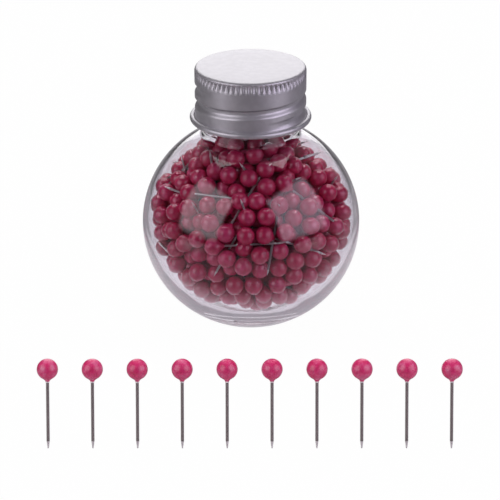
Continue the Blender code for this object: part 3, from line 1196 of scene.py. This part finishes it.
@dataclass
class PinHeap:
    """The pins that fill the bottle: a layer of heads along glass and mound, and the pins behind it."""

    bottle: GlassBottle
    shape: PinShape = PinShape()
    head_finish: Finish = PearlPlastic()
    # A darker copy of the pins' steel: its dark wire is painted shade on the shafts in the bottle.
    shaft_finish: Finish = PinSteel(
        name="drawn_steel_in_bottle", wire=(0.14, 0.125, 0.13), metal=1.0, roughness=0.3)
    # Random tones, shifted low as painted shade on the heads in the bottle.
    tones_with_painted_shading: Span = (-2.6, -0.4)
    glass_gap: float = 0.3 * MM
    ground: float = 4.7 * MM
    peak: float = 47.0 * MM
    peak_radius: float = 8.5 * MM
    slope: float = 43.6
    fill: float = 0.68
    scatter: float = 0.1
    dip: float = 2.4 * MM
    stray_count: int = 36
    # Painted glint: the shafts of strays and poking pins, which show, are painted brighter.
    stray_painted_glint: float = 0.5
    stray_lifts: Span = (0.6, -0.4)
    stray_clear: float = 1.5 * MM
    layer_rounds: int = 150
    inner_count: int = 470
    inner_depths: Span = (0.3, 0.86)
    inner_rounds: int = 60
    inner_leans: Span = (0.6, 2.5)
    poking_count: int = 26
    poking_tries: int = 900
    poking_room: float = 3.0
    poking_leans: Span = (0.3, 0.9)
    poke: float = 5.5 * MM
    poke_shares: Span = (0.1, 1.0)
    poke_clear: float = 0.5 * MM
    seed: int = 7
    head_columns: int = 12
    head_rows: int = 6
    shaft_columns: int = 6

    @property
    def centre(self) -> np.ndarray:
        """Middle of the bottle's hollow, from which the heap's places are measured."""
        return np.array([0.0, 0.0, self.bottle.cavity_centre])

    def wall(self, ways: np.ndarray) -> np.ndarray:
        """Distance to the limit along the glass in unit directions.

        Args:
            ways: The directions.

        Returns:
            The distances.
        """
        side = np.hypot(ways[:, 0], ways[:, 1])
        wide = self.bottle.cavity_radius - self.glass_gap
        tall = self.bottle.cavity_half_height - self.glass_gap
        return 1 / np.sqrt((side / wide) ** 2 + (ways[:, 2] / tall) ** 2)

    def reach(self, ways: np.ndarray) -> np.ndarray:
        """Distance to the heap's limit in unit directions: glass, flat peak, slope or floor.

        Args:
            ways: The directions.

        Returns:
            The distances.
        """
        side = np.hypot(ways[:, 0], ways[:, 1])
        up = ways[:, 2]
        peak = self.peak - self.bottle.cavity_centre
        flat = np.where(up > 0, peak / np.maximum(up, TINY), np.inf)
        steep = math.tan(math.radians(self.slope))
        rise = up + steep * side
        mound = np.where(rise > 0, (peak + steep * self.peak_radius) / np.maximum(rise, TINY), np.inf)
        floor = np.where(up < 0, (self.bottle.cavity_centre - self.ground) / np.maximum(-up, TINY), np.inf)
        return np.minimum.reduce([self.wall(ways), flat, mound, floor])

    def below_limit(self, points: np.ndarray, depth: np.ndarray | float) -> np.ndarray:
        """Points moved along their own way to lie some depth below the heap's limit."""
        ways = unit(points)
        return ways * (self.reach(ways) - depth)[:, None]

    @staticmethod
    def parted(gaps: np.ndarray, room: float) -> np.ndarray:
        """Half of what each gap between two things lacks for its length to be the room, along the gap."""
        length = np.linalg.norm(gaps, axis=-1, keepdims=True)
        return gaps * np.clip(room - length, 0, None) / np.maximum(length, TINY) / 2

    def layer(self, rng: np.random.Generator) -> tuple[np.ndarray, np.ndarray, np.ndarray]:
        """Outer heads, which settle as they push each other and the shafts of stray pins apart.

        Args:
            rng: Source of random numbers.

        Returns:
            Head centres, the numbers of the stray pins, and the strays' tips.
        """
        radius, reach = self.shape.head_radius, self.shape.head_height
        per_head = (2 * radius) ** 2 * math.sqrt(3) / 2
        count = round(self.fill * 4 * math.pi * (self.bottle.cavity_radius - radius) ** 2 / per_head)
        index = np.arange(count)
        up = 1 - 2 * (index + 0.5) / count
        turn = index * math.pi * (3 - math.sqrt(5))
        side = np.sqrt(1 - up**2)
        ways = np.column_stack([side * np.cos(turn), side * np.sin(turn), up])
        ways = unit(ways + rng.normal(scale=self.scatter, size=ways.shape))
        depth = radius + self.dip * rng.random(count) ** 3
        heads = self.below_limit(ways, depth)
        strays = rng.choice(count, self.stray_count, replace=False)
        tips = heads[strays] + reach * unit(np.cross(ways[strays], rng.normal(size=(self.stray_count, 3))))
        for _ in range(self.layer_rounds):
            shafts = tips - heads[strays]
            offset = heads[:, None] - heads[strays]
            share = np.clip(np.sum(offset * shafts, axis=2, keepdims=True) / reach**2, 0, 1)
            push = self.parted(offset - share * shafts, radius + self.shape.shaft_radius)
            moves = push.sum(axis=1) + self.parted(heads[:, None] - heads, 2 * radius).sum(axis=1)
            moves[strays] -= (push * (1 - share)).sum(axis=0)
            tips = tips - (push * share).sum(axis=0)
            heads = self.below_limit(heads + moves / 2, depth)
            tips = heads[strays] + reach * unit(tips - heads[strays])
            tips = self.below_limit(tips, self.shape.shaft_radius)
        return heads, strays, tips

    def behind(self, rng: np.random.Generator, outer: np.ndarray) -> np.ndarray:
        """Heads behind the outer layer, pushed clear of it and of each other.

        Args:
            rng: Source of random numbers.
            outer: Heads of the outer layer.

        Returns:
            Head centres.
        """
        ways = unit(rng.normal(size=(self.inner_count, 3)))
        low, high = self.inner_depths
        depth = rng.uniform(low**3, high**3, self.inner_count) ** (1 / 3)
        heads = ways * (self.reach(ways) * depth)[:, None]
        room = 2 * self.shape.head_radius
        for _ in range(self.inner_rounds):
            moves = 2 * self.parted(heads[:, None] - outer, room).sum(axis=1)
            moves += self.parted(heads[:, None] - heads, room).sum(axis=1)
            heads = heads + moves / 2
            limit = self.reach(unit(heads)) - self.shape.head_radius
            heads *= np.minimum(1, limit / np.linalg.norm(heads, axis=1))[:, None]
        return heads

    def pokes(self, rng: np.random.Generator, outer: np.ndarray) -> tuple[np.ndarray, np.ndarray]:
        """Pins whose points come out of the mound where the outer heads leave room.

        Args:
            rng: Source of random numbers.
            outer: Heads of the outer layer.

        Returns:
            Head centres and tips.
        """
        ways = unit(rng.normal(size=(self.poking_tries, 3)) + (0, 0, 1))
        ways = ways[self.reach(ways) < self.wall(ways) - self.poke_clear]
        spots = self.below_limit(ways, self.shape.head_radius)
        room = np.linalg.norm(spots[:, None] - outer, axis=2).min(axis=1)
        apart = self.poking_room * self.shape.head_radius
        kept: list[int] = []
        for spot in np.argsort(-room):
            if all(np.linalg.norm(spots[spot] - spots[other]) > apart for other in kept):
                kept.append(spot)
        ways = ways[kept[: self.poking_count]]
        out = self.poke * rng.uniform(*self.poke_shares, len(ways))
        tips = ways * np.minimum(self.reach(ways) + out, self.wall(ways) - self.poke_clear)[:, None]
        lean = unit(np.cross(ways, rng.normal(size=ways.shape)))
        lean = lean * rng.uniform(*self.poking_leans, (len(ways), 1))
        return tips - self.shape.head_height * unit(ways + lean), tips

    def settled(self) -> tuple[np.ndarray, np.ndarray, np.ndarray]:
        """All pins of the heap.

        Returns:
            Tips, the unit axes from tip to head, and how much painted glint each shaft has.
        """
        rng = np.random.default_rng(self.seed)
        outer, strays, stray_tips = self.layer(rng)
        inner = self.behind(rng, outer)
        poking, poking_tips = self.pokes(rng, outer)
        heads = np.concatenate([outer, inner, poking])
        ways = unit(heads)
        lean = unit(np.cross(ways, rng.normal(size=ways.shape)))
        inward = rng.uniform(*self.inner_leans, (len(heads), 1))
        tips = heads + self.shape.head_height * unit(lean - inward * ways)
        above = self.reach(unit(stray_tips)) < self.wall(unit(stray_tips)) - self.stray_clear
        out, back = self.stray_lifts
        lift = np.where(above, out * self.poke, back * self.poke) * rng.uniform(0, 1, self.stray_count)
        tips[strays] = stray_tips + unit(stray_tips) * lift[:, None]
        tips[-len(poking):] = poking_tips
        axes = unit(heads - tips)
        # Painted glint on the shafts that show.
        shine = np.zeros(len(heads))
        shine[strays] = shine[-len(poking):] = self.stray_painted_glint
        LOG.info("heap of %d pins, %d in its outer layer", len(heads), len(outer))
        return self.centre + heads - axes * self.shape.head_height, axes, shine

    def copy_tree(self) -> GeometryTree:
        """Geometry Nodes that set a copy of one pin part on each point, turned along the point's axis.

        Returns:
            The tree.
        """
        inputs = {"Pin Part": "Object", "Pin Scale": "Float", "Finish": "Material"}
        tree = GeometryTree("pins_on_points", {name: f"NodeSocket{kind}" for name, kind in inputs.items()})
        graph = tree.graph
        part = graph.signal("GeometryNodeObjectInfo", "Geometry", {"Object": tree.given("Pin Part")})
        kept = {"data_type": "FLOAT_VECTOR"}
        axis = graph.signal("GeometryNodeInputNamedAttribute", "Attribute", {"Name": "axis"}, kept)
        turn = graph.signal("FunctionNodeAlignRotationToVector", "Rotation", {"Vector": axis}, {"axis": "Z"})
        values = {
            "Points": tree.given("Geometry"),
            "Instance": part,
            "Rotation": turn,
            "Scale": tree.given("Pin Scale"),
        }
        tree.close(graph.signal("GeometryNodeInstanceOnPoints", "Instances", values), tree.given("Finish"))
        return tree

    def build(self) -> list[Piece]:
        """Makes the heap.

        Returns:
            All heads as one piece, and all shafts as another.
        """
        tips, axes, shine = self.settled()
        tones_with_painted_shading = np.random.default_rng(self.seed + 1).uniform(*self.tones_with_painted_shading, len(tips))
        tree = self.copy_tree()
        head = self.shape.head(self.head_columns, self.head_rows)
        shaft = self.shape.shaft(self.shaft_columns, False)
        parts = (
            ("bottle_pin_balls", head, self.head_finish, "pin_head"),
            ("bottle_pin_wires", shaft, self.shaft_finish, "pin_steel"),
        )
        made = []
        for name, (points, faces), finish, slot in parts:
            source = add_piece(f"{name}_pattern", points, faces, finish, {"bare": self.shape.bare(points)})
            piece = add_piece(name, tips, [], finish, {"tone": tones_with_painted_shading, "shine": shine})
            axis = piece.data.attributes.new("axis", "FLOAT_VECTOR", "POINT")
            axis.data.foreach_set("vector", axes.ravel())
            tree.run(piece, {"Pin Part": source, "Pin Scale": 1.0, "Finish": finish.material()})
            bpy.data.objects.remove(source)
            made.append(settle_piece(piece, "bottle", slot, "pin_heap"))
        return made


# Studio


@dataclass
class Studio:
    """White floor and backdrop, two softboxes, a lamp overhead, and the camera."""

    camera_distance: float = 420 * MM
    camera_elevation: float = 23.9
    camera_pitch: float = 24.854
    camera_aside: float = 2.8 * MM
    camera_turn: float = 0.355
    camera_roll: float = 0.225
    focal_pixels: float = 1745.0
    picture_pixels: float = 500.0
    sensor: float = 36.0
    aim_height: float = 23.54 * MM
    floor_size: float = 6.0
    box_azimuths: tuple[float, float] = (57.0, 58.5)
    box_widths: tuple[float, float] = (0.54, 0.62)
    box_elevation: float = 25.0
    box_distance: float = 0.55
    box_height: float = 0.56
    box_radiance: float = 1.53
    box_edge: float = 0.09
    box_colours: tuple[Colour, Colour] = ((0.97, 0.93, 1.0), (0.99, 0.91, 1.09))
    top_height: float = 0.65
    top_back: float = 0.27
    top_size: Span = (0.74, 0.50)
    top_radiance: float = 3.3
    sheen_elevation: float = 30.0
    sheen_radiance: float = 1.25
    sheen_size: Span = (0.9, 0.8)
    fill: float = 0.055
    dark_room: float = 0.03
    dark_through_glass: float = 0.035
    ceiling: float = 0.5
    ceiling_up: Span = (0.3, 0.8)
    ceiling_back: Span = (0.2, 0.6)
    white_through_glass: Span = (0.35, 0.8)
    white_once_mirrored: Span = (0.62, 0.82)
    white_in_mirrors: Span = (0.88, 1.0)
    floor_finish: Finish = PaleFloor()

    def lamp(self, name: str, place: Vector, width: float, height: float, radiance: float,
             edge: float = 0.0) -> bpy.types.Object:
        """An area lamp that looks at the bottle.

        Args:
            name: Its name.
            place: Where it is.
            width: Its width.
            height: Its height.
            radiance: How bright its face is, with white at 1.
            edge: Share of its width and height over which its face fades at each edge.

        Returns:
            The lamp.
        """
        data = bpy.data.lights.new(name, "AREA")
        data.shape = "RECTANGLE"
        data.size, data.size_y = width, height
        data.energy = radiance * math.pi * width * height
        if edge:
            graph = NodeGraph.emptied(data)
            across, along, _ = graph.axes(graph.signal("ShaderNodeNewGeometry", "Parametric"))
            fade = across.rise(0.0, edge) * across.rise(1.0, 1 - edge)
            fade = fade * along.rise(0.0, edge) * along.rise(1.0, 1 - edge)
            glow = graph.signal("ShaderNodeEmission", "Emission", {"Strength": fade})
            graph.node("ShaderNodeOutputLight", {"Surface": glow})
        lamp = bpy.data.objects.new(name, data)
        aim = Vector((0, 0, self.aim_height))
        lamp.location = place
        lamp.rotation_euler = (aim - place).to_track_quat("-Z", "Y").to_euler()
        lamp.visible_camera = False
        bpy.context.scene.collection.objects.link(lamp)
        return lamp

    def lamps(self) -> None:
        """Sets up the softboxes, the lamp overhead and the bright backdrop that the cap's top mirrors."""
        lift = math.radians(self.box_elevation)
        for side, azimuth, width, colour in zip(Side, self.box_azimuths, self.box_widths, self.box_colours):
            turn = math.radians(azimuth) * side.value
            way = Vector((math.sin(turn) * math.cos(lift), -math.cos(turn) * math.cos(lift), math.sin(lift)))
            place = Vector((0, 0, self.aim_height)) + way * self.box_distance
            name = f"softbox_{side.name.lower()}"
            box = self.lamp(name, place, width, self.box_height, self.box_radiance, self.box_edge)
            box.data.color = colour
        place = Vector((0, self.top_back, self.top_height))
        overhead = self.lamp("overhead", place, *self.top_size, self.top_radiance)
        overhead.visible_glossy = False
        lift = math.radians(self.sheen_elevation)
        place = Vector((0, math.cos(lift), math.sin(lift)))
        sheen = self.lamp("backdrop_sheen", place, *self.sheen_size, self.sheen_radiance)
        sheen.visible_transmission = sheen.visible_diffuse = False

    def world(self) -> None:
        """White behind the object for the camera, metal and glass, and a dim room in front of it."""
        world = bpy.data.worlds.new("studio")
        graph = NodeGraph.emptied(world)
        _, back, up = graph.axes(graph.signal("ShaderNodeTexCoord", "Generated"))
        through, mirrored = graph.rays("Is Transmission Ray"), graph.rays("Is Glossy Ray")
        once = graph.mirrored_once()
        ceiling = self.ceiling * up.rise(*self.ceiling_up) * back.rise(*self.ceiling_back)
        clear = back.rise(*self.white_through_glass) * (1 - once)
        clear = clear + (back.rise(*self.white_once_mirrored) + ceiling) * once
        room = self.fill + through * (self.dark_through_glass - self.fill)
        room = room + mirrored * (self.dark_room - self.fill)
        room = room + through * clear + mirrored * back.rise(*self.white_in_mirrors)
        seen = graph.rays("Is Camera Ray")
        strength = seen + (1 - seen) * room
        sky = graph.signal("ShaderNodeBackground", "Background", {"Strength": strength})
        graph.node("ShaderNodeOutputWorld", {"Surface": sky})
        bpy.context.scene.world = world

    def floor(self) -> None:
        """Lays the floor that the bottle stands on."""
        half = self.floor_size / 2
        corners = np.array([(-half, -half, 0), (half, -half, 0), (half, half, 0), (-half, half, 0)])
        add_piece("studio_floor", corners, [(0, 1, 2, 3)], self.floor_finish)

    def camera(self) -> None:
        """Sets up the camera at the picture's viewing angle."""
        data = bpy.data.cameras.new("camera")
        data.sensor_width = self.sensor
        data.lens = self.focal_pixels * self.sensor / self.picture_pixels
        camera = bpy.data.objects.new("camera", data)
        lift = math.radians(self.camera_elevation)
        away = Vector((0, -math.cos(lift), math.sin(lift))) * self.camera_distance
        camera.location = Vector((self.camera_aside, 0, self.aim_height)) + away
        turns = (90 - self.camera_pitch, self.camera_roll, self.camera_turn)
        camera.rotation_euler = tuple(math.radians(turn) for turn in turns)
        bpy.context.scene.collection.objects.link(camera)
        bpy.context.scene.camera = camera

    def build(self) -> None:
        """Sets up everything round the object."""
        bpy.context.scene.view_settings.view_transform = "Standard"
        self.world()
        self.floor()
        self.lamps()
        self.camera()


def main() -> None:
    """Builds the studio and the object's sub-assemblies in order."""
    logging.basicConfig(level=logging.INFO, format="%(name)s: %(message)s")
    Studio().build()
    bottle = GlassBottle()
    for assembly in (bottle, ScrewCap(), PinHeap(bottle), PinRow()):
        for piece in assembly.build():
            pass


if __name__ == "__main__":
    main()
